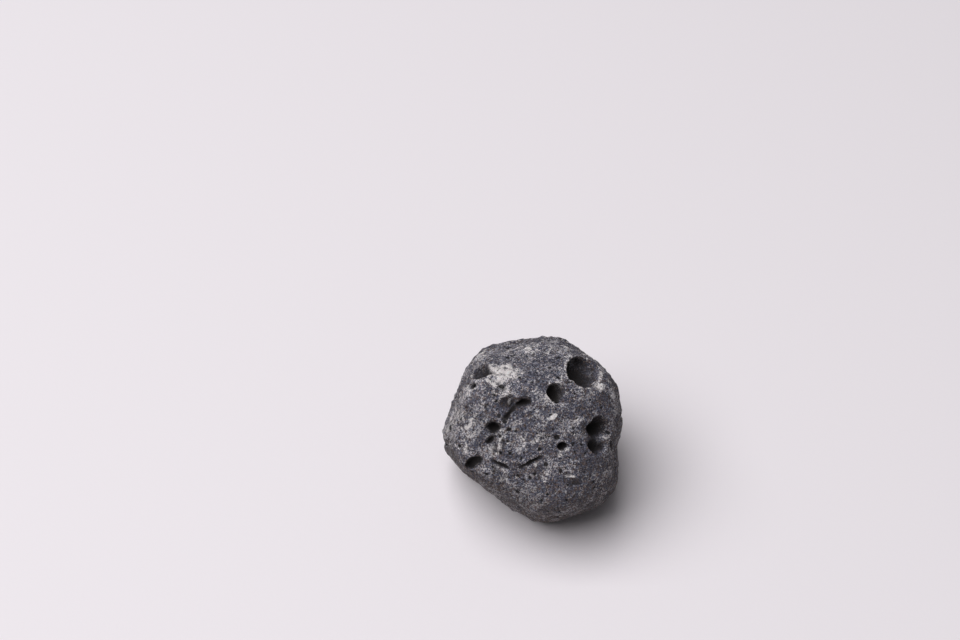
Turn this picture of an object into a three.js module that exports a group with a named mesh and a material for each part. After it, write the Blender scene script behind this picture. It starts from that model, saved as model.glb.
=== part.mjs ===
// A tumbled pebble of vesicular basalt, the stone sold as lava rock. It is one natural piece:
// a many-faced lump with every edge worn round, opened by the pits of old gas bubbles,
// resting on a small worn flat.
//
// Millimetres, +Z up. The origin is on the plane of the resting flat, under the middle of the stone.
// A place on the stone is a direction from its core, [bearing, rise] in degrees: bearing turns
// from +X towards +Y, and rise is the angle above level.

import * as THREE from "three";
import { mergeVertices } from "three/addons/utils/BufferGeometryUtils.js";

const CELLS = 16; // grid cells along each edge of the cube that the skin starts as
const RIM_CELL = 0.55; // longest triangle side wanted on a pit's rim and walls
const RIM_REACH = 1.15; // how far those fine triangles reach, in rim radii
const REFINING_ROUNDS = 2; // each round halves the coarse sides there
const EDGE_SHARPNESS = 11; // how tightly the worn faces meet: 2 is nearly a ball, 40 a cut gem
const REST_DEPTH = 11.8; // core to resting flat
const PIT_WALL = 0.75; // 0.5 is upright at the rim, 1 is a shallow dish
const HOLLOW_WALL = 2; // a hollow has no rim: it fades into the skin
const LIP_SHARE = 0.15; // share of a pit's depth that is its worn lip
const LIP_REACH = 1.4; // how far the worn lip reaches, in rim radii
const DEPTH_PULL = 4; // how strongly the deeper of two overlapping pits wins
const STONE_COLOUR = 0x57555c;

// The worn faces, with each one's distance from the core.
const FACES = [
  { name: "top", at: [95, 75], reach: 12.8 },
  { name: "crown", at: [95, 40], reach: 15.8 },
  { name: "nick", at: [44, 30], reach: 13.7 },
  { name: "shoulder", at: [30, 15], reach: 15.9 },
  { name: "right", at: [0, 0], reach: 13.3 },
  { name: "right brow", at: [335, 56], reach: 14.2 },
  { name: "right cheek", at: [320, 25], reach: 14.6 },
  { name: "right flank", at: [353, -3], reach: 14.2 },
  { name: "right toe", at: [297, -28], reach: 14.2 },
  { name: "left toe", at: [227, -30], reach: 11.2 },
  { name: "left flank", at: [205, -15], reach: 15.0 },
  { name: "left", at: [180, 0], reach: 13.9 },
  { name: "left brow", at: [165, 20], reach: 12.6 },
  { name: "left shoulder", at: [138, 30], reach: 14.4 },
  { name: "left crown", at: [108, 50], reach: 13.3 },
  { name: "left cheek", at: [220, 45], reach: 13.8 },
  { name: "front", at: [272, 42], reach: 12.8 },
  { name: "chin", at: [263, 0], reach: 15.5 },
  { name: "base", at: [270, -90], reach: 12.3 },
  { name: "back", at: [90, -8], reach: 14.8 },
  { name: "back right", at: [45, -30], reach: 13.8 },
  { name: "back left", at: [130, -28], reach: 14.0 },
];

// Broad waves that keep the worn faces from being true planes. waves counts them across the stone.
const SWELLS = [
  { along: [25, 35], waves: 2.0, height: 0.16 },
  { along: [140, -20], waves: 2.6, height: 0.12 },
  { along: [265, 60], waves: 3.1, height: 0.1 },
];

// The pits. rim is the length and width across the rim, and turn is the length's angle from level,
// anticlockwise. The floor leans to one side of the rim, by that much [along the length, across it],
// so the wall there is undercut and the wall that faces it is a ramp.
const PITS = [
  { name: "great bowl", at: [7, 59], rim: [6.5, 5.0], turn: 158, depth: 3.1, lean: [-0.6, -0.7] },
  { name: "eye", at: [310, 69], rim: [2.5, 2.3], turn: 25, depth: 2.4, lean: [-0.2, 0.3] },
  { name: "slot", at: [251, 64], rim: [2.9, 1.1], turn: 26, depth: 1.5, lean: [-0.3, 0.5] },
  { name: "left eye", at: [232, 43], rim: [2.2, 1.9], turn: 37, depth: 2.0, lean: [-0.2, 0.2] },
  { name: "left tear", at: [234, 36], rim: [2.1, 1.1], turn: 58, depth: 1.1, lean: [-0.1, 0.1] },
  { name: "left jaw", at: [230, 19], rim: [3.6, 1.5], turn: 56, depth: 1.4, lean: [-0.6, 0.3] },
  { name: "right cup", at: [325, 34], rim: [4.3, 3.2], turn: 141, depth: 2.4, lean: [0.6, -0.2] },
  { name: "right saucer", at: [317, 27], rim: [3.2, 2.6], turn: 129, depth: 1.6, lean: [-0.1, 0.4] },
  { name: "right chip", at: [328, 19], rim: [2.4, 1.2], turn: 100, depth: 0.9, lean: [0.1, 0.0] },
  { name: "brow bowl", at: [172, 56], rim: [4.5, 2.8], turn: 40, depth: 1.5, lean: [-0.4, 0.0] },
  { name: "back bowl", at: [78, 14], rim: [4.6, 3.6], turn: 20, depth: 1.9, lean: [0.5, 0.3] },
  { name: "back eye", at: [104, 30], rim: [2.5, 2.2], turn: 70, depth: 1.7, lean: [0.0, 0.2] },
  { name: "back cup", at: [118, -4], rim: [3.2, 2.4], turn: 110, depth: 1.5, lean: [0.3, 0.0] },
  { name: "back nick", at: [52, 2], rim: [2.4, 2.0], turn: 0, depth: 1.4, lean: [0.0, 0.2] },
  { name: "left bowl", at: [143, 8], rim: [3.8, 2.8], turn: 60, depth: 1.5, lean: [0.4, 0.0] },
  { name: "left pock", at: [158, -12], rim: [2.4, 2.1], turn: 30, depth: 1.6, lean: [0.0, 0.0] },
  { name: "right bowl", at: [14, 4], rim: [3.6, 3.0], turn: 75, depth: 1.6, lean: [0.0, 0.4] },
  { name: "right pock", at: [350, -20], rim: [2.4, 2.0], turn: 15, depth: 1.5, lean: [0.1, 0.1] },
  { name: "under cup", at: [55, -42], rim: [3.2, 2.6], turn: 35, depth: 1.5, lean: [0.0, 0.3] },
  { name: "under pock", at: [150, -48], rim: [2.6, 2.0], turn: 80, depth: 1.3, lean: [0.0, 0.0] },
];

// Broad shallow hollows, where softer stone wore away.
const HOLLOWS = [
  { name: "slot hollow", at: [240, 61], rim: [5.4, 3.4], turn: 50, depth: 1.0, lean: [0.0, 0.2] },
  { name: "cheek hollow", at: [236, 28], rim: [8.0, 5.0], turn: 60, depth: 0.5, lean: [0.0, 0.0] },
  { name: "smile hollow", at: [262, 20], rim: [9.0, 3.6], turn: 5, depth: 0.4, lean: [0.0, 0.0] },
  { name: "right trough", at: [319, 32], rim: [6.4, 3.4], turn: 105, depth: 1.0, lean: [0.0, 0.0] },
  { name: "right hollow", at: [330, 8], rim: [8.0, 5.0], turn: 80, depth: 0.5, lean: [0.0, 0.0] },
  { name: "back hollow", at: [98, 8], rim: [9.0, 6.0], turn: 30, depth: 0.6, lean: [0.0, 0.0] },
  { name: "left hollow", at: [172, 22], rim: [8.0, 5.0], turn: 100, depth: 0.5, lean: [0.0, 0.0] },
];

// The unit vector towards [bearing, rise].
function direction([bearing, rise]) {
  const turn = THREE.MathUtils.degToRad(bearing);
  const tilt = THREE.MathUtils.degToRad(rise);
  return new THREE.Vector3(
    Math.cos(turn) * Math.cos(tilt),
    Math.sin(turn) * Math.cos(tilt),
    Math.sin(tilt),
  );
}

const faces = FACES.map((face) => ({ ...face, normal: direction(face.at) }));
const swells = SWELLS.map((swell) => ({ ...swell, axis: direction(swell.along) }));

// Where the skin is, in a unit direction from the core, before any pit. The faces' planes are
// joined by a power mean, which rounds every edge and corner, and the swells are added.
function skinPoint(unit) {
  let sum = 0;
  for (const face of faces) {
    sum += (Math.max(unit.dot(face.normal), 0) / face.reach) ** EDGE_SHARPNESS;
  }
  let distance = sum ** (-1 / EDGE_SHARPNESS);
  for (const swell of swells) {
    distance += swell.height * Math.cos(swell.waves * Math.PI * unit.dot(swell.axis));
  }
  return unit.clone().multiplyScalar(distance);
}

// A pit or hollow with its place on the skin: its middle, its axes and the way out of the stone.
function place(pit, wall) {
  const unit = direction(pit.at);
  const level = new THREE.Vector3(-unit.y, unit.x, 0).normalize();
  const upright = unit.clone().cross(level);
  const middle = skinPoint(unit);
  const step = 0.02; // a small stretch of skin, in radians
  const aside = skinPoint(unit.clone().addScaledVector(level, step).normalize()).sub(middle);
  const above = skinPoint(unit.clone().addScaledVector(upright, step).normalize()).sub(middle);
  const outward = aside.clone().cross(above).normalize();
  const lengthAxis = aside.normalize().applyAxisAngle(outward, THREE.MathUtils.degToRad(pit.turn));
  const widthAxis = outward.clone().cross(lengthAxis);
  return { ...pit, wall, middle, outward, lengthAxis, widthAxis };
}

const pits = [
  ...PITS.map((pit) => place(pit, PIT_WALL)),
  ...HOLLOWS.map((hollow) => place(hollow, HOLLOW_WALL)),
];

// How far a point of the skin is from a pit's middle, in rim radii.
function radiiFrom(pit, point) {
  const offset = point.clone().sub(pit.middle);
  const isFarSide = offset.dot(pit.outward) < -pit.rim[0];
  const along = offset.dot(pit.lengthAxis) / (pit.rim[0] / 2);
  const across = offset.dot(pit.widthAxis) / (pit.rim[1] / 2);
  return isFarSide ? Infinity : Math.hypot(along, across);
}

// How much of a pit's depth there is at that many rim radii: a cup inside the rim,
// and a soft worn lip that reaches a little past it.
function depthShare(radii, wall) {
  const cup = radii < 1 ? (1 - radii * radii) ** wall : 0;
  const lip = 1 - THREE.MathUtils.smoothstep(radii, 0, LIP_REACH);
  return (1 - LIP_SHARE) * cup + LIP_SHARE * lip;
}

// The skin with its pits. Where pits overlap, their moves are averaged, and the deeper one
// counts for far more.
function pittedPoint(unit) {
  const point = skinPoint(unit);
  const move = new THREE.Vector3();
  let total = 0;
  for (const pit of pits) {
    const share = depthShare(radiiFrom(pit, point), pit.wall);
    const pull = (pit.depth * share) ** DEPTH_PULL;
    move.addScaledVector(pit.outward, -pit.depth * share * pull);
    move.addScaledVector(pit.lengthAxis, pit.lean[0] * share * pull);
    move.addScaledVector(pit.widthAxis, pit.lean[1] * share * pull);
    total += pull;
  }
  if (total > 0) {
    point.addScaledVector(move, 1 / total);
  }
  point.z = Math.max(point.z, -REST_DEPTH); // the resting flat
  return point;
}

// A cube's grid blown out to a ball: its corners as unit vectors, and its triangles.
function ballGrid() {
  const box = new THREE.BoxGeometry(2, 2, 2, CELLS, CELLS, CELLS);
  box.deleteAttribute("normal");
  box.deleteAttribute("uv");
  const grid = mergeVertices(box);
  const position = grid.getAttribute("position");
  const units = [];
  for (let i = 0; i < position.count; i++) {
    const corner = new THREE.Vector3().fromBufferAttribute(position, i);
    const even = corner.toArray().map((x) => Math.tan((x * Math.PI) / 4)); // keeps the cells alike
    units.push(new THREE.Vector3(...even).normalize());
  }
  const index = grid.getIndex();
  const triangles = [];
  for (let i = 0; i < index.count; i += 3) {
    triangles.push([index.getX(i), index.getX(i + 1), index.getX(i + 2)]);
  }
  return { units, triangles };
}

// Whether a grid edge is too long to draw a pit that it touches.
function isCoarse(from, middle, to) {
  const skins = [from, middle, to].map(skinPoint);
  const isNear = (pit) => skins.some((skin) => radiiFrom(pit, skin) < RIM_REACH);
  return skins[0].distanceTo(skins[2]) > RIM_CELL && pits.some((pit) => pit.wall < 1 && isNear(pit));
}

// One round of refining: each coarse edge gets a new corner at its middle, and each triangle
// is cut to use its edges' new corners.
function refine({ units, triangles }) {
  const middles = new Map();
  const middleOf = (a, b) => {
    const key = `${Math.min(a, b)} ${Math.max(a, b)}`;
    if (!middles.has(key)) {
      const unit = units[a].clone().add(units[b]).normalize();
      const coarse = isCoarse(units[a], unit, units[b]);
      middles.set(key, coarse ? units.push(unit) - 1 : null);
    }
    return middles.get(key);
  };
  const finer = triangles.flatMap(([a, b, c]) => {
    const [ab, bc, ca] = [middleOf(a, b), middleOf(b, c), middleOf(c, a)];
    if (ab !== null && bc !== null && ca !== null) {
      return [[a, ab, ca], [ab, b, bc], [ca, bc, c], [ab, bc, ca]];
    }
    const ring = [a, ab, b, bc, c, ca];
    const start = Math.max(0, ring.findIndex((corner, i) => i % 2 === 1 && corner !== null));
    const fan = [...ring.slice(start), ...ring.slice(0, start)].filter((corner) => corner !== null);
    return fan.slice(2).map((corner, i) => [fan[0], fan[i + 1], corner]);
  });
  return { units, triangles: finer };
}

// The whole skin, set down on its flat with the middle of its sides over the origin.
function pebbleGeometry() {
  let grid = ballGrid();
  for (let round = 0; round < REFINING_ROUNDS; round++) {
    grid = refine(grid);
  }
  const geometry = new THREE.BufferGeometry().setFromPoints(grid.units.map(pittedPoint));
  geometry.setIndex(grid.triangles.flat());
  geometry.computeBoundingBox();
  const middle = geometry.boundingBox.getCenter(new THREE.Vector3());
  geometry.translate(-middle.x, -middle.y, REST_DEPTH);
  geometry.computeVertexNormals();
  return geometry;
}

const pebble = new THREE.Mesh(
  pebbleGeometry(),
  new THREE.MeshStandardMaterial({ color: STONE_COLOUR, roughness: 0.85, metalness: 0 }),
);
pebble.name = "lava_stone";

const lavaRock = new THREE.Group();
lavaRock.add(pebble);

export default lavaRock;
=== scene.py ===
# A tumbled lava rock, a pebble of vesicular basalt, on white paper in soft daylight.
# Lengths in the dictionaries are millimetres and angles are degrees, unless a note says otherwise.

import functools
import itertools
import math

import bpy
import numpy as np
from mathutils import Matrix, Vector


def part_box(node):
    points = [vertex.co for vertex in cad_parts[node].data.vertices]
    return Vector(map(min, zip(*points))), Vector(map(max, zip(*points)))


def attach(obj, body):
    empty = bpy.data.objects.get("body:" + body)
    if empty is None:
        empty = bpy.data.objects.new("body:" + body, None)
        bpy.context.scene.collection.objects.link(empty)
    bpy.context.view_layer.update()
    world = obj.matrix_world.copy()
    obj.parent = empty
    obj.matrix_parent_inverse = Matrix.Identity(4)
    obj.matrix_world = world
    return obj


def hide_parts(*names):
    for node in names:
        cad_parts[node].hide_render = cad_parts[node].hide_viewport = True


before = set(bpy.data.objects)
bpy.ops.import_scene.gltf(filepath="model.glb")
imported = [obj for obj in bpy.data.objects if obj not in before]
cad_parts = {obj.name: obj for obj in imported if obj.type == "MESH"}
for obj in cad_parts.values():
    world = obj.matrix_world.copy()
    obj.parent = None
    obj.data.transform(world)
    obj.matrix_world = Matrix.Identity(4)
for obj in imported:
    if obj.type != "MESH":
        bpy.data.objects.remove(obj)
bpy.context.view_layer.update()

mm = 0.001  # metres

# A place on the stone is a direction from its core, (bearing, rise): bearing turns from +X towards +Y,
# and rise is the angle above level.
# A mark is a place, its rim (length, width), the length's turn from level, its depth, and
# how far its floor leans to one side (along the length, across it).
pebble = {
    "cells": 128,  # grid cells along each edge of the cube that the skin is blown out from
    "edgeSharpness": 11,  # how tightly the worn faces meet: 2 is nearly a ball, 40 a cut gem
    "restDepth": 11.8,  # core to the flat that the stone rests on
    "faces": [  # name, (bearing, rise), distance from the core
        ("top", (95, 75), 12.8),
        ("crown", (95, 40), 15.8),
        ("nick", (44, 30), 13.7),
        ("shoulder", (30, 15), 15.9),
        ("right", (0, 0), 13.3),
        ("right brow", (335, 56), 14.2),
        ("right cheek", (320, 25), 14.6),
        ("right flank", (353, -3), 14.2),
        ("right toe", (297, -28), 14.2),
        ("left toe", (227, -30), 11.2),
        ("left flank", (205, -15), 15.0),
        ("left", (180, 0), 13.9),
        ("left brow", (165, 20), 12.6),
        ("left shoulder", (138, 30), 14.4),
        ("left crown", (108, 50), 13.3),
        ("left cheek", (220, 45), 13.8),
        ("front", (272, 42), 12.8),
        ("chin", (263, 0), 15.5),
        ("base", (270, -90), 12.3),
        ("back", (90, -8), 14.8),
        ("back right", (45, -30), 13.8),
        ("back left", (130, -28), 14.0),
    ],
    "swells": [  # direction, waves across the stone, height
        ((25, 35), 2.0, 0.16),
        ((140, -20), 2.6, 0.12),
        ((265, 60), 3.1, 0.1),
    ],
    "pits": [
        ("great bowl", (7, 59), (6.5, 5.0), 158, 3.1, (-0.6, -0.7)),
        ("eye", (310, 69), (2.5, 2.3), 25, 2.4, (-0.2, 0.3)),
        ("slot", (251, 64), (2.9, 1.1), 26, 1.5, (-0.3, 0.5)),
        ("left eye", (232, 43), (2.2, 1.9), 37, 2.0, (-0.2, 0.2)),
        ("left tear", (234, 36), (2.1, 1.1), 58, 1.1, (-0.1, 0.1)),
        ("left jaw", (230, 19), (3.6, 1.5), 56, 1.4, (-0.6, 0.3)),
        ("right cup", (325, 34), (4.3, 3.2), 141, 2.4, (0.6, -0.2)),
        ("right saucer", (317, 27), (3.2, 2.6), 129, 1.6, (-0.1, 0.4)),
        ("right chip", (328, 19), (2.4, 1.2), 100, 0.9, (0.1, 0.0)),
        ("brow bowl", (172, 56), (4.5, 2.8), 40, 1.5, (-0.4, 0.0)),
        ("back bowl", (78, 14), (4.6, 3.6), 20, 1.9, (0.5, 0.3)),
        ("back eye", (104, 30), (2.5, 2.2), 70, 1.7, (0.0, 0.2)),
        ("back cup", (118, -4), (3.2, 2.4), 110, 1.5, (0.3, 0.0)),
        ("back nick", (52, 2), (2.4, 2.0), 0, 1.4, (0.0, 0.2)),
        ("left bowl", (143, 8), (3.8, 2.8), 60, 1.5, (0.4, 0.0)),
        ("left pock", (158, -12), (2.4, 2.1), 30, 1.6, (0.0, 0.0)),
        ("right bowl", (14, 4), (3.6, 3.0), 75, 1.6, (0.0, 0.4)),
        ("right pock", (350, -20), (2.4, 2.0), 15, 1.5, (0.1, 0.1)),
        ("under cup", (55, -42), (3.2, 2.6), 35, 1.5, (0.0, 0.3)),
        ("under pock", (150, -48), (2.6, 2.0), 80, 1.3, (0.0, 0.0)),
        ("bead", (187, 50), (2.4, 1.1), 61, 1.1, (-0.1, 0.1)),
        ("pinhole", (292, 36), (1.6, 1.1), 165, 1.5, (0.1, -0.1)),
        ("toe dot", (283, -5), (1.3, 0.8), 94, 0.6, (0.0, 0.0)),
    ],
    "hollows": [  # broad and shallow, where softer stone wore away
        ("slot hollow", (240, 61), (5.4, 3.4), 50, 1.0, (0.0, 0.2)),
        ("cheek hollow", (236, 28), (8.0, 5.0), 60, 0.5, (0.0, 0.0)),
        ("smile hollow", (262, 20), (9.0, 3.6), 5, 0.4, (0.0, 0.0)),
        ("right trough", (319, 32), (6.4, 3.4), 105, 1.0, (0.0, 0.0)),
        ("right hollow", (330, 8), (8.0, 5.0), 80, 0.5, (0.0, 0.0)),
        ("back hollow", (98, 8), (9.0, 6.0), 30, 0.6, (0.0, 0.0)),
        ("left hollow", (172, 22), (8.0, 5.0), 100, 0.5, (0.0, 0.0)),
        ("top dimple", (272, 81), (2.6, 2.0), 87, 0.3, (0.0, 0.0)),
    ],
    "creases": [  # narrow grooves
        ("smile left", (246, 24), (3.8, 0.9), 168, 0.6, (0.1, -0.2)),
        ("smile right", (267, 28), (4.0, 0.65), 31, 0.5, (-0.2, 0.3)),
        ("chin crease", (293, 14), (2.4, 0.6), 160, 0.2, (0.0, 0.1)),
        ("slot tail", (240, 57), (3.2, 0.8), 72, 1.2, (0.1, 0.0)),
        ("plate edge", (238, 33), (5.0, 1.0), 108, 0.35, (0.0, 0.0)),
        ("slot bay", (233, 62), (2.8, 1.6), 60, 0.7, (0.0, 0.1)),
        ("dimple", (245, 20), (1.5, 1.1), 17, 0.35, (0.0, 0.0)),
    ],
    "ridges": [  # narrow rises of harder stone
        ("plate rim", (242, 35), (5.2, 0.9), 106, -0.5, (0.0, 0.0)),
        ("slot ledge", (250, 68), (4.2, 1.2), 24, -0.55, (0.0, 0.0)),
        ("smile rim", (256, 28), (5.0, 1.2), 8, -0.35, (0.0, 0.0)),
        ("chin rim", (292, 18), (3.0, 0.9), 155, -0.4, (0.0, 0.0)),
        ("brow rim", (199, 62), (5.0, 1.3), 35, -0.4, (0.0, 0.0)),
    ],
    "pitWall": 0.6,  # 0.5 is upright at the rim, 1 is a shallow dish
    "hollowWall": 2,
    "lipShare": 0.12,  # share of a mark's depth that is its worn lip
    "lipReach": 1.4,  # how far the worn lip reaches, in rim radii
    "depthPull": 4,  # how strongly the deeper of two overlapping marks wins
    "depthShade": 1.3,  # how fast a pit's floor counts as hollow, and so is painted dark as painted shade, with its depth over its width
    "rimWander": (0.2, 0.9),  # how far a rim strays from its oval, and over what length
    "mostWander": 0.28,  # the most that it strays, in rim radii
    "rimSeed": 3,
    "bubbles": {
        "seed": 7,
        "count": 300,
        "widths": (0.38, 1.7),
        "crowding": 2.2,  # 1 is as many big ones as small, and more is fewer big ones
        "stretch": 1.5,  # the most that one is longer than wide
        "deep": (0.36, 0.72),  # depth over width
    },
    "told": ((272, 42), 82),  # the side whose wide pits are all named above: its middle, and how far out
    "widestUntold": 1.2,  # how wide a random bubble may be there, in the least widths
    "relief": [(3.4, 0.24), (1.5, 0.2), (0.75, 0.13), (0.42, 0.08)],  # bumps: spacing, height
    "reliefSeed": 20,
    "corroded": 1.2,  # how much rougher the skin is where it is scuffed
    "pitCalm": 0.6,  # how much smoother it is on a pit's floor
    "leastRough": 0.25,  # the relief that even the smoothest skin keeps
    "surroundings": 8,  # rounds of smoothing, each about 0.15 mm wide, that tell high places from low
}


def unitTowards(place):
    # the unit vector at a bearing and a rise
    bearing, rise = np.radians(place)
    return np.array([
        np.cos(bearing) * np.cos(rise),
        np.sin(bearing) * np.cos(rise),
        np.sin(rise),
    ])


def ballGrid(cells):
    # six square grids on the faces of a cube, joined at their edges and blown out to a unit ball;
    # the tangent of the grid number keeps the cells alike
    steps = np.arange(cells + 1)
    u, v = np.meshgrid(steps, steps, indexing="ij")
    corner = np.arange(cells)[:, None] * (cells + 1) + np.arange(cells)
    quad = np.stack([corner, corner + cells + 1, corner + cells + 2, corner + 1], -1).reshape(-1, 4)
    corners, quads = [], []
    for axis, side in itertools.product(range(3), (0, cells)):
        flat = [None] * 3
        flat[axis], flat[axis - 2], flat[axis - 1] = np.full_like(u, side), u, v
        corners.append(np.stack([number.ravel() for number in flat], 1))
        quads.append((quad if side else quad[:, ::-1]) + (len(corners) - 1) * u.size)
    shared, index = np.unique(np.concatenate(corners), axis=0, return_inverse=True)
    cube = np.tan((shared / cells * 2 - 1) * math.pi / 4)
    units = cube / np.linalg.norm(cube, axis=1, keepdims=True)
    return units, index.reshape(-1)[np.concatenate(quads)]


def skinPoints(units):
    # distance from the core = (sum over the faces of (facing / reach) to the power p) to the power -1/p,
    # which is the faces' planes with every edge rounded, plus the swells' cosines
    normals = np.array([unitTowards(place) for name, place, reach in pebble["faces"]])
    reaches = np.array([reach for name, place, reach in pebble["faces"]])
    facing = np.clip(units @ normals.T, 0, None) / reaches
    sharpness = pebble["edgeSharpness"]
    distance = (facing ** sharpness).sum(1) ** (-1 / sharpness)
    for place, waves, height in pebble["swells"]:
        distance += height * np.cos(waves * math.pi * (units @ unitTowards(place)))
    return units * distance[:, None]


def smoothNoise(points, spacing, seed):
    # random numbers from -1 to 1 at the corners of a lattice, blended by smoothstep in each cell;
    # three large primes scatter the corners over the table of numbers
    table = np.random.default_rng(seed).uniform(-1, 1, 8192)
    place = points / spacing
    corner = np.floor(place).astype(np.int64)
    part = place - corner
    part = part * part * (3 - 2 * part)
    total = np.zeros(len(points))
    for step in itertools.product((0, 1), repeat=3):
        weight = np.abs(1 - np.array(step) - part).prod(1)
        x, y, z = (corner + step).T
        total += weight * table[(x * 73856093 ^ y * 19349663 ^ z * 83492791) % len(table)]
    return total


def markFrame(place, turn):
    # a mark's middle on the skin, its axes along the length and across it, and the way out of the stone
    unit = unitTowards(place)
    level = np.array([-unit[1], unit[0], 0]) / np.hypot(unit[0], unit[1])
    upright = np.cross(unit, level)
    step = 0.02  # a small stretch of skin, in radians
    around = np.array([unit, unit + level * step, unit + upright * step])
    middle, aside, above = skinPoints(around / np.linalg.norm(around, axis=1, keepdims=True))
    outward = np.cross(aside - middle, above - middle)
    outward /= np.linalg.norm(outward)
    levelAxis = (aside - middle) / np.linalg.norm(aside - middle)
    uprightAxis = np.cross(outward, levelAxis)
    angle = math.radians(turn)
    lengthAxis = levelAxis * math.cos(angle) + uprightAxis * math.sin(angle)
    return middle, lengthAxis, np.cross(outward, lengthAxis), outward


def markRadii(points, place, rim, turn, wander=0.0):
    # how far each point is from a mark's middle, in rim radii: the length of (along, across),
    # with the rim strayed by smooth noise, a narrow mark's least, and the far side of the stone left out
    middle, lengthAxis, widthAxis, outward = markFrame(place, turn)
    offset = points - middle
    radii = np.hypot(offset @ lengthAxis / (rim[0] / 2), offset @ widthAxis / (rim[1] / 2))
    near = (offset @ outward > -rim[0]) & (radii < 2)  # no mark reaches past 2 rim radii
    if wander:
        stray = min(wander / rim[1] * 2, pebble["mostWander"])
        radii[near] += stray * smoothNoise(points[near], pebble["rimWander"][1], pebble["rimSeed"])
    radii[~near] = np.inf
    return radii, (lengthAxis, widthAxis, outward)


def depthShare(radii, wall):
    # the share of a mark's depth at that many rim radii: a cup, (1 - radii squared) to the power wall,
    # inside the rim, and a soft worn lip that reaches a little past it
    cup = np.clip(1 - radii ** 2, 0, None) ** wall
    part = np.clip(radii / pebble["lipReach"], 0, 1)
    lip = 1 - part * part * (3 - 2 * part)
    return (1 - pebble["lipShare"]) * cup + pebble["lipShare"] * lip


def carve(points, marks):
    # moves points into the marks. Where marks overlap their moves are averaged, with weights of
    # depth to the power depthPull, so the deeper one wins. Also gives how deep and narrow each place is,
    # which is painted dark as painted shade.
    move = np.zeros_like(points)
    total = np.zeros(len(points))
    deepest = np.zeros(len(points))
    for (name, place, rim, turn, depth, lean), wall in marks:
        radii, axes = markRadii(points, place, rim, turn, pebble["rimWander"][0])
        near = np.flatnonzero(radii < pebble["lipReach"])
        share = depthShare(radii[near], wall)
        pull = (depth * share) ** pebble["depthPull"]
        path = lean[0] * axes[0] + lean[1] * axes[1] - depth * axes[2]
        move[near] += (share * pull)[:, None] * path
        total[near] += pull
        if wall < 1:
            shade = min(pebble["depthShade"] * depth / rim[1], 1)
            deepest[near] = np.maximum(deepest[near], share * shade)
    reached = total > 0
    points[reached] += move[reached] / total[reached, None]
    return deepest


def randomBubbles(seed, count, widths, crowding, stretch, deep):
    # small bubble pits all over but on the underside: directions even on the ball, with a width of
    # least * (most / least) to the power (chance to the power crowding), so that few are big
    chance = np.random.default_rng(seed)
    least, most = widths
    told = unitTowards(pebble["told"][0])
    marks = []
    for number in range(count):
        rise = math.degrees(math.asin(chance.uniform(-0.85, 1)))
        place = (chance.uniform(0, 360), rise)
        size = least * (most / least) ** (chance.uniform() ** crowding)
        isTold = unitTowards(place) @ told > math.cos(math.radians(pebble["told"][1]))
        size = min(size, pebble["widestUntold"] * least) if isTold else size
        rim = (size * chance.uniform(1, stretch), size)
        turn = chance.uniform(0, 180)
        depth = size * chance.uniform(*deep)
        marks.append((f"bubble {number}", place, rim, turn, depth, (0, 0)))
    return marks


def outwardNormals(points, quads):
    # each quad's normal is the cross product of its diagonals, and a point's is the sum of its quads'
    a, b, c, d = (points[quads[:, side]] for side in range(4))
    flat = np.cross(c - a, d - b)
    total = np.stack([
        np.bincount(quads.ravel(), np.repeat(flat[:, axis], 4), len(points)) for axis in range(3)
    ], 1)
    return total / np.linalg.norm(total, axis=1, keepdims=True)


def proudOf(points, quads, normals):
    # how far each point stands out of its surroundings: its distance along the normal from the skin
    # that is left when every point has moved to the middle of its quads, many times over
    smooth = points.copy()
    count = np.bincount(quads.ravel(), minlength=len(points))
    for _ in range(pebble["surroundings"]):
        middles = np.repeat(smooth[quads].mean(1), 4, axis=0)
        for axis in range(3):
            smooth[:, axis] = np.bincount(quads.ravel(), middles[:, axis], len(points)) / count
    return ((points - smooth) * normals).sum(1)


def makePebble():
    units, quads = ballGrid(pebble["cells"])
    points = skinPoints(units)
    carve(points, [(mark, pebble["hollowWall"]) for mark in pebble["ridges"]])
    sharp = [(mark, pebble["pitWall"]) for mark in pebble["pits"] + pebble["creases"]]
    soft = [(mark, pebble["hollowWall"]) for mark in pebble["hollows"]]
    hollow = carve(points, sharp + soft)
    bubbles = [(mark, pebble["pitWall"]) for mark in randomBubbles(**pebble["bubbles"])]
    pore = carve(points, bubbles)
    scuffAndShade = scuffAndShadeShare(points)
    normals = outwardNormals(points, quads)
    upward = normals[:, 2].copy()
    roughness = 1 + pebble["corroded"] * scuffAndShade - pebble["pitCalm"] * hollow
    rough = normals * np.maximum(roughness, pebble["leastRough"])[:, None]
    for seed, (spacing, height) in enumerate(pebble["relief"], pebble["reliefSeed"]):
        points += rough * height * smoothNoise(points, spacing, seed)[:, None]
    proud = proudOf(points, quads, outwardNormals(points, quads))
    points[:, 2] = np.maximum(points[:, 2], -pebble["restDepth"])
    # set down on its flat, in the middle of the CAD stone's box
    low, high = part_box("lava_stone")
    centre = (points.max(0) + points.min(0)) / 2
    seat = np.array([(low.x + high.x) / 2, (low.y + high.y) / 2, low.z])
    shift = seat - np.array([centre[0], centre[1], -pebble["restDepth"]]) * mm
    mesh = bpy.data.meshes.new("pebble")
    mesh.from_pydata(points * mm + shift, [], quads.tolist())
    mesh.polygons.foreach_set("use_smooth", np.ones(len(quads), bool))
    looks = {"hollow": hollow, "pore": pore, "scuffAndShade": scuffAndShade, "proud": proud, "upward": upward}
    for name, values in looks.items():
        layer = mesh.attributes.new(name, "FLOAT", "POINT")
        layer.data.foreach_set("value", values.astype(np.float32))
    piece = bpy.data.objects.new("pebble", mesh)
    bpy.context.scene.collection.objects.link(piece)
    return piece, Vector(shift)
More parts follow.
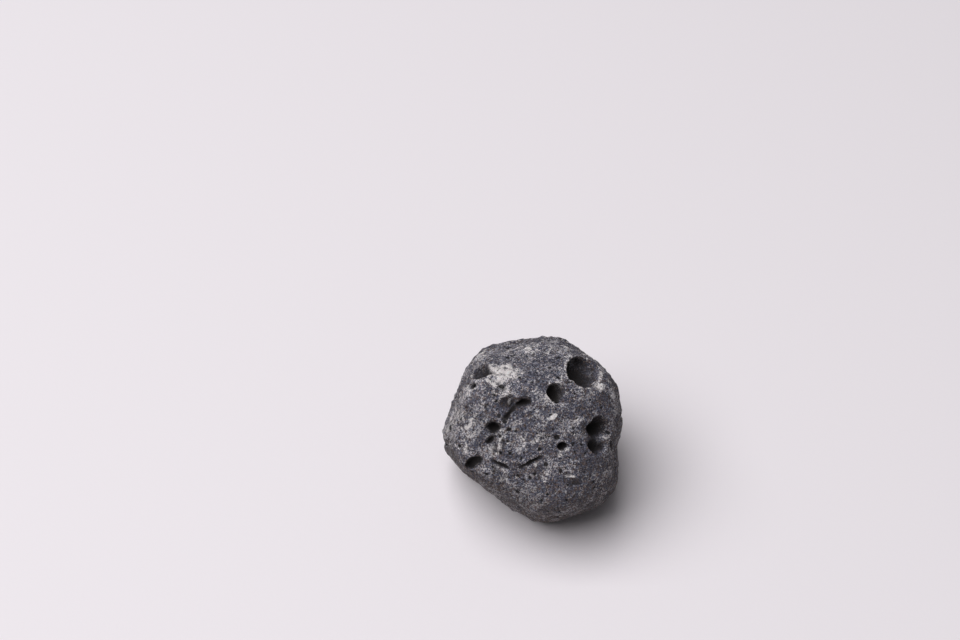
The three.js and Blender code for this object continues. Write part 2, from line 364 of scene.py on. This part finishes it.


# Where the skin is scuffed pale. A strength below zero darkens the skin, with less dust and fewer pale
# grains, and smooths its relief: painted shadow of neighbouring stones, not built here, on the great
# bowl and the rim right of it, and partly painted shade and partly darker skin low down and on the
# right.
scuffsAndShades = {
    "places": [  # (bearing, rise), (length, width), turn, strength
        ((190, 22), (15.0, 11.0), 90, 0.68),
        ((100, 62), (13.0, 8.0), 0, 0.3),
        ((181, 71), (6.4, 5.0), 60, 1.12),
        ((201, 65), (3.6, 2.4), 30, 1.15),
        ((185, 43), (1.8, 1.4), 0, 1.0),
        ((96, 65), (2.8, 2.2), 0, 0.75),
        ((352, 49), (3.2, 2.0), 60, 1.0),
        # below zero: painted shadow of a neighbouring stone, not built here
        ((20, 52), (3.6, 2.2), 100, -0.6),
        ((312, 48), (1.8, 1.6), 0, 0.7),
        ((277, 22), (3.6, 1.6), 80, 0.8),
        ((220, 23), (2.4, 2.0), 0, 0.9),
        ((240, 30), (2.4, 2.2), 0, 0.7),
        ((234, 61), (2.6, 1.4), 100, 0.9),
        ((214, 36), (3.2, 2.2), 60, 0.9),
        ((288, 32), (1.3, 0.9), 90, 1.3),
        ((291, 19), (2.8, 0.9), 150, 1.0),
        ((291, 56), (2.6, 0.9), 20, 0.9),
        ((53, 54), (2.4, 1.8), 0, 0.9),
        ((256, 40), (6.4, 4.6), 20, 0.3),
        ((216, 66), (3.4, 2.2), 40, 1.0),
        ((273, 43), (3.8, 1.9), 10, 0.85),
        ((294, 66), (3.4, 2.0), 20, 0.7),
        ((241, 41), (2.6, 1.6), 90, 0.7),
        ((252, 17), (3.0, 2.2), 60, 0.6),
        # below zero: painted shadow of neighbouring stones in the great bowl, and after it partly
        # painted shade and partly darker skin
        ((7, 59), (6.8, 5.4), 158, -1.2),
        ((342, 44), (5.0, 4.4), 90, -0.7),
        ((325, 34), (4.6, 3.6), 141, -0.6),
        ((301, 30), (3.2, 2.6), 0, -0.7),
        ((284, 14), (4.0, 2.4), 0, -0.6),
        ((266, 33), (3.4, 1.6), 10, -0.6),
        ((219, 31), (3.4, 2.6), 30, 0.6),
        ((241, 62), (5.2, 3.0), 40, -1.0),
        ((311, 25), (6.0, 5.0), 90, -0.6),
        ((318, 30), (3.6, 2.8), 0, -1.1),
        ((290, 8), (7.0, 4.0), 0, -0.7),
    ],
    "wander": 0.5,  # how far a scuff's rim strays from its oval
    "seed": 11,
    "strays": 26,  # more of them at random places on the back and sides
    "strayWidths": (1.4, 4.5),
    "strayStrengths": (0.4, 0.9),
}


def scuffAndShadeShare(points):
    # each scuff, and each patch of painted shade, is a dome, 1 - radii squared, times its strength, and
    # the strongest counts
    chance = np.random.default_rng(scuffsAndShades["seed"])
    places = list(scuffsAndShades["places"])
    for _ in range(scuffsAndShades["strays"]):
        place = (chance.uniform(-10, 190), math.degrees(math.asin(chance.uniform(-0.9, 0.9))))
        size = chance.uniform(*scuffsAndShades["strayWidths"])
        rim = (size * chance.uniform(1, 2), size)
        turn = chance.uniform(0, 180)
        places.append((place, rim, turn, chance.uniform(*scuffsAndShades["strayStrengths"])))
    share = np.zeros(len(points))
    for place, rim, turn, strength in places:
        radii = markRadii(points, place, rim, turn, scuffsAndShades["wander"])[0]
        dome = strength * np.clip(1 - radii ** 2, 0, 1)
        share = np.where(np.abs(dome) > np.abs(share), dome, share)
    return share


def linear(hexColour):
    # an sRGB hex colour as linear red, green, blue and alpha
    parts = [int(hexColour[start:start + 2], 16) / 255 for start in (1, 3, 5)]
    return [((p + 0.055) / 1.055) ** 2.4 if p > 0.04045 else p / 12.92 for p in parts] + [1]


def addNode(tree, kind, inputs={}, **settings):
    # adds a node. Its inputs go to sockets by name or number, or from a list in order, and each is
    # a value, an output to link, or a node whose first output is linked.
    node = tree.nodes.new("ShaderNode" + kind)
    for name, value in settings.items():
        setattr(node, name, value)
    for name, value in enumerate(inputs) if isinstance(inputs, list) else inputs.items():
        if isinstance(value, bpy.types.Node):
            value = value.outputs[0]
        if isinstance(value, bpy.types.NodeSocket):
            tree.links.new(value, node.inputs[name])
        else:
            node.inputs[name].default_value = value
    return node


def setTones(ramp, tones):
    # gives a colour ramp its tones, each a position and a hex colour
    while len(ramp.elements) < len(tones):
        ramp.elements.new(0.5)
    for element, (position, colour) in zip(ramp.elements, tones):
        element.position = position
        element.color = linear(colour)


def newMaterial(name):
    material = bpy.data.materials.new(name)
    material.use_nodes = True
    tree = material.node_tree
    return material, tree, tree.nodes["Principled BSDF"]


# Vesicular basalt, tumbled in a drum: a fine dark groundmass of pyroxene and glass, sprinkled with pale
# laths of plagioclase feldspar, matt because tumbling left it ground and unpolished. To the eye it is
# a bluish dark grey salt-and-pepper, pricked with black pores and dusted pale where it was knocked.
basalt = {
    # tones of the groundmass, from glass through pyroxene and mixed grains to small feldspar
    "fresh": [(0.12, "#1d1e26"), (0.42, "#494b5b"), (0.66, "#696c7c"), (0.9, "#bcbfcb")],
    "stained": [(0.12, "#241b18"), (0.42, "#5a4c46"), (0.66, "#7d6c66"), (0.9, "#cdbfb5")],
    "lath": "#c8c5c8",
    "dust": "#cdc7c6",
    "chalk": "#fbf7f5",
    # painted shade: the dark colour laid on places lower than their surroundings
    "lowShade": "#2a2422",
    # painted shade: the black inside bubble pits and pores
    "pore": "#0c0909",
    # partly dark dirt and unworn skin, partly painted shade: the colour of pit floors
    "pitFloor": "#191312",
    # widths; real groundmass grains are 0.02 to 0.1, too fine to show, so they are drawn coarser
    "grain": 0.16,
    "noises": {  # width, finer layers, how strong those are
        "push": (0.3, 3, 0.5),  # what pushes the grains about
        "crumble": (0.26, 5, 0.7),  # the crumbs that the worn skin breaks into
        "clump": (0.8, 3, 0.6),  # the clumps that the crumbs gather in
        "rich": (2.2, 3, 0.6),  # patches that are rich or poor in feldspar
        "stain": (0.45, 4, 0.65),  # patches that iron has stained
        "mottle": (4.5, 3, 0.5),  # patches that are paler or darker
    },
    "noiseRange": (0.3, 0.7),  # nearly all of a noise lies between these
    "pushFar": 0.35,  # how far the grains are pushed, at most
    "laths": [  # long, wide, share of their cells that are feldspar, and how they are turned
        (0.55, 0.17, 0.08, (20, 35, 10)),
        (0.4, 0.15, 0.1, (80, -25, 60)),
        (0.3, 0.14, 0.12, (-40, 70, 120)),
    ],
    "lathSoft": 0.06,  # over what stretch of its draw a cell turns to feldspar
    "lathEdge": (0.62, 0.4),  # how far from its cell's middle a lath starts, and where it is full
    "pores": [  # spacing, and the widest pore as a share of it
        (1.1, 0.2),
        (0.42, 0.3),
    ],
    "poreDraw": (0.5, 1, -0.05),  # the draws that give pores, from none to the widest
    "poreEdge": (-0.03, 0.06),  # how far inside its rim a pore starts, and where it is full
    # what each thing adds to a share, the values at which a coat starts to show and shows most,
    # and how much of the skin below it hides there
    "richMix": {"patches": (-0.3, 0.26), "scuffAndShade": 0.3},
    "mineralMix": {"start": -0.33, "crumble": 1.15, "draw": 0.52, "rich": 0.24},
    "ironMix": {"draw": 0.35, "upward": -0.12, "shows": (0.58, 0.76), "most": 1},
    "dustMix": {
        "start": -1.75,
        "crumble": 2.0,
        "draw": 0.3,
        "clump": 1.5,
        "upward": 0.2,
        "proud": 1.5,
        "scuffAndShade": 0.5,
        "shows": (0.56, 0.82),
        "most": 0.9,
    },
    "lowShadeMix": {"shows": (-0.01, -0.12), "most": 0.6},
    "pitMix": {"shows": (0.15, 0.75), "most": 0.94},
    "bubbleMix": {"shows": (0.05, 0.35), "most": 0.85},
    "mottleTones": (0.6, 0.93),
    "upperSide": 0.62,  # how much paler the colour is made on upward faces than on the sides
    "steps": {  # heights of the ground skin
        "crumb": (0.75, 0.5),  # on clean skin and on a full scuff
        "grain": 0.02,
        "lath": 0.02,
        "pore": -0.12,
    },
    "roughness": 0.85,
    "ior": 1.55,
}


def makeBasalt():
    material, tree, shader = newMaterial("tumbled_basalt")
    add = functools.partial(addNode, tree)
    perMetre = 1 / mm
    place = add("TexCoord").outputs["Object"]
    scuffAndShade, proud, upward, hollow, bubble = (
        add("Attribute", attribute_name=name).outputs["Fac"]
        for name in ("scuffAndShade", "proud", "upward", "hollow", "pore")
    )
    noises = {
        name: add("TexNoise", {
            "Vector": place, "Scale": perMetre / width, "Detail": detail, "Roughness": strength,
        }) for name, (width, detail, strength) in basalt["noises"].items()
    }

    def addUp(total, *parts):
        # the total, plus each part's weight times its value
        for weight, value in parts:
            total = add("Math", [value, weight, total], operation="MULTIPLY_ADD")
        return total

    def lay(colour, *coats):
        # lays coats over a colour, each with the value that it follows, its mix, or None where the
        # value is the share that it covers, and its own colour
        for value, mix, over in coats:
            share = add("MapRange", [value, *mix["shows"], 0, mix["most"]]) if mix else value
            colour = add("Mix", {0: share, 6: colour, 7: over}, data_type="RGBA").outputs[2]
        return colour

    # the lattice of grains is pushed about, so that no grain has a straight side
    pushed = add("VectorMath", [
        noises["push"].outputs["Color"], [basalt["pushFar"] * mm] * 3, place,
    ], operation="MULTIPLY_ADD")
    grain = add("TexVoronoi", {"Vector": pushed, "Scale": perMetre / basalt["grain"]})
    draws = add("SeparateColor", [grain.outputs["Color"]]).outputs  # three random numbers for each grain

    # groundmass: each grain's draw and fine noise pick its mineral, from black glass through pyroxene
    # to small feldspar, and patches rich in feldspar draw higher
    mix = basalt["richMix"]
    patches = add("MapRange", [noises["rich"], *basalt["noiseRange"], *mix["patches"]])
    rich = addUp(patches, (mix["scuffAndShade"], scuffAndShade))
    mix = basalt["mineralMix"]
    mineral = addUp(
        mix["start"],
        (mix["crumble"], noises["crumble"]),
        (mix["draw"], draws[0]),
        (mix["rich"], rich),
    )
    fresh, stained = (add("ValToRGB", [mineral]) for _ in range(2))
    setTones(fresh.color_ramp, basalt["fresh"])
    setTones(stained.color_ramp, basalt["stained"])
    mix = basalt["ironMix"]
    iron = addUp(noises["stain"], (mix["draw"], draws[2]), (mix["upward"], upward))
    groundmass = lay(fresh, (iron, mix, stained))

    # laths: cells stretched along one line, and only the cells that drew a high number are feldspar
    lathShare = None
    for long, wide, share, turn in basalt["laths"]:
        turned = add("Mapping", {
            "Vector": pushed,
            "Rotation": [math.radians(angle) for angle in turn],
            "Scale": [long * mm, wide * mm, wide * mm],
        }, vector_type="TEXTURE")
        cell = add("TexVoronoi", {"Vector": turned, "Scale": 1})
        draw = add("SeparateColor", [cell.outputs["Color"]]).outputs[1]
        richDraw = add("Math", [draw, rich], operation="ADD")
        least = 1 - share
        feldspar = add("MapRange", [richDraw, least, least + basalt["lathSoft"], 0, 1])
        core = add("MapRange", [cell.outputs["Distance"], *basalt["lathEdge"], 0, 1])
        lath = add("Math", [feldspar, core], operation="MULTIPLY")
        lathShare = add("Math", [lathShare, lath], operation="MAXIMUM") if lathShare else lath

    # pores: round black specks, painted shade for holes too small to build, at the middles of wider
    # cells, each with a size of its own
    poreShare = None
    for gap, most in basalt["pores"]:
        cell = add("TexVoronoi", {"Vector": pushed, "Scale": perMetre / gap})
        draw = add("SeparateColor", [cell.outputs["Color"]]).outputs[2]
        size = add("MapRange", [draw, *basalt["poreDraw"], most])
        inside = add("Math", [size, cell.outputs["Distance"]], operation="SUBTRACT")
        pore = add("MapRange", [inside, *basalt["poreEdge"], 0, 1])
        poreShare = add("Math", [poreShare, pore], operation="MAXIMUM") if poreShare else pore

    # dust is ground into scuffs and high places, and breaks up into crumbs at its edges; there is less
    # of it where a strength below zero paints shade, and places lower than their surroundings are
    # painted dark, as painted shade
    mix = basalt["dustMix"]
    worn = addUp(
        mix["start"],
        (mix["crumble"], noises["crumble"]),
        (mix["draw"], draws[1]),
        (mix["clump"], noises["clump"]),
        (mix["upward"], upward),
        (mix["proud"], proud),
        (mix["scuffAndShade"], scuffAndShade),
    )
    dust = lay(linear(basalt["dust"]), (draws[1], None, linear(basalt["chalk"])))
    colour = lay(
        groundmass,
        (lathShare, None, linear(basalt["lath"])),
        (worn, mix, dust),
        (proud, basalt["lowShadeMix"], linear(basalt["lowShade"])),
    )

    # the colour is made paler on upward faces than on the sides. Pit floors are painted dark, partly
    # dark dirt and unworn skin and partly painted shade, and bubble pits and pores are painted black as
    # painted shade; pits and bubble pits are darker the deeper and narrower they are
    mottle = add("MapRange", [noises["mottle"], *basalt["noiseRange"], *basalt["mottleTones"]])
    paler = add("MapRange", [upward, 0, 1, 0, basalt["upperSide"]])
    tone = add("Math", [paler, mottle], operation="ADD")
    toned = add("VectorMath", {0: colour, "Scale": tone}, operation="SCALE")
    colour = lay(
        toned,
        (hollow, basalt["pitMix"], linear(basalt["pitFloor"])),
        (bubble, basalt["bubbleMix"], linear(basalt["pore"])),
        (poreShare, None, linear(basalt["pore"])),
    )
    tree.links.new(colour, shader.inputs["Base Color"])
    shader.inputs["Roughness"].default_value = basalt["roughness"]
    shader.inputs["IOR"].default_value = basalt["ior"]

    # the ground skin: crumbs stand up, less where a scuff ground them down, grains stand up or are
    # plucked out, and pores are holes
    steps = basalt["steps"]
    crumbStep = add("MapRange", [scuffAndShade, 0, 1, *steps["crumb"]])
    crumbs = add("Math", [noises["crumble"], crumbStep], operation="MULTIPLY")
    height = addUp(
        crumbs,
        (steps["grain"], draws[0]),
        (steps["lath"], lathShare),
        (steps["pore"], poreShare),
    )
    bump = add("Bump", {"Height": height, "Distance": mm, "Strength": 1.0})
    tree.links.new(bump.outputs[0], shader.inputs["Normal"])
    return material


# Uncoated white paper, pressed smooth: bright, quite matt, with no pattern that shows at this distance.
paper = {
    "colour": "#efebee",
    "roughness": 0.7,
    "size": 3000,
    "fibre": 0.4,  # real fibres are about 0.02 wide, too fine to show, so they are drawn coarser
    "press": 0.01,  # how high they stand
}


def makePaper():
    material, tree, shader = newMaterial("white_paper")
    shader.inputs["Base Color"].default_value = linear(paper["colour"])
    shader.inputs["Roughness"].default_value = paper["roughness"]
    place = addNode(tree, "TexCoord").outputs["Object"]
    fibre = addNode(tree, "TexNoise", {"Vector": place, "Scale": 1 / (paper["fibre"] * mm)})
    bump = addNode(tree, "Bump", {"Height": fibre, "Distance": paper["press"] * mm})
    tree.links.new(bump.outputs[0], shader.inputs["Normal"])
    half = paper["size"] * mm / 2
    mesh = bpy.data.meshes.new("paper")
    corners = [(-half, -half, 0), (half, -half, 0), (half, half, 0), (-half, half, 0)]
    mesh.from_pydata(corners, [], [(0, 1, 2, 3)])
    mesh.materials.append(material)
    floor = bpy.data.objects.new("paper", mesh)
    bpy.context.scene.collection.objects.link(floor)
    return floor


# One big soft window, high on the left and a little in front, and a dim even sky.
studio = {
    "bearing": 192,
    "rise": 66,
    "distance": 1200,
    "size": 1150,
    "watts": 16.8,
    "colour": "#fffdff",
    "sky": "#f2f0f4",
    "skyStrength": 0.12,
}


def lightStudio():
    light = bpy.data.lights.new("window", "AREA")
    light.size = studio["size"] * mm
    light.energy = studio["watts"]
    light.color = linear(studio["colour"])[:3]
    towards = Vector(unitTowards((studio["bearing"], studio["rise"])))
    window = bpy.data.objects.new("window", light)
    window.location = towards * studio["distance"] * mm
    window.rotation_euler = towards.to_track_quat("Z", "Y").to_euler()
    bpy.context.scene.collection.objects.link(window)
    world = bpy.data.worlds.new("sky")
    world.use_nodes = True
    background = world.node_tree.nodes["Background"]
    background.inputs["Color"].default_value = linear(studio["sky"])
    background.inputs["Strength"].default_value = studio["skyStrength"]
    bpy.context.scene.world = world


# The camera looks along +Y, down on the stone, which stands right of and below the view's middle.
viewpoint = {
    "lens": 70,
    "sensor": 36,
    "distance": 279.4,  # along the view, to the stone's core
    "elevation": 46.7,
    "right": 7.9,
    "below": 16.2,
    "nearest": 10,  # nothing nearer than this is drawn
}


def placeCamera(core):
    data = bpy.data.cameras.new("camera")
    data.lens = viewpoint["lens"]
    data.sensor_width = viewpoint["sensor"]
    data.clip_start = viewpoint["nearest"] * mm
    camera = bpy.data.objects.new("camera", data)
    camera.rotation_euler = (math.radians(90 - viewpoint["elevation"]), 0, 0)
    turn = camera.rotation_euler.to_matrix()
    offset = Vector((-viewpoint["right"], viewpoint["below"], viewpoint["distance"])) * mm
    camera.location = core + turn @ offset
    bpy.context.scene.collection.objects.link(camera)
    bpy.context.scene.camera = camera


print("pebble: shaping")
stone, core = makePebble()
stone.data.materials.append(makeBasalt())
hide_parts("lava_stone")
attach(stone, "root")
print("pebble: done,", len(stone.data.polygons), "quads")

makePaper()
lightStudio()
placeCamera(core)
bpy.context.scene.view_settings.view_transform = "Standard"
print("paper, light and camera: done")
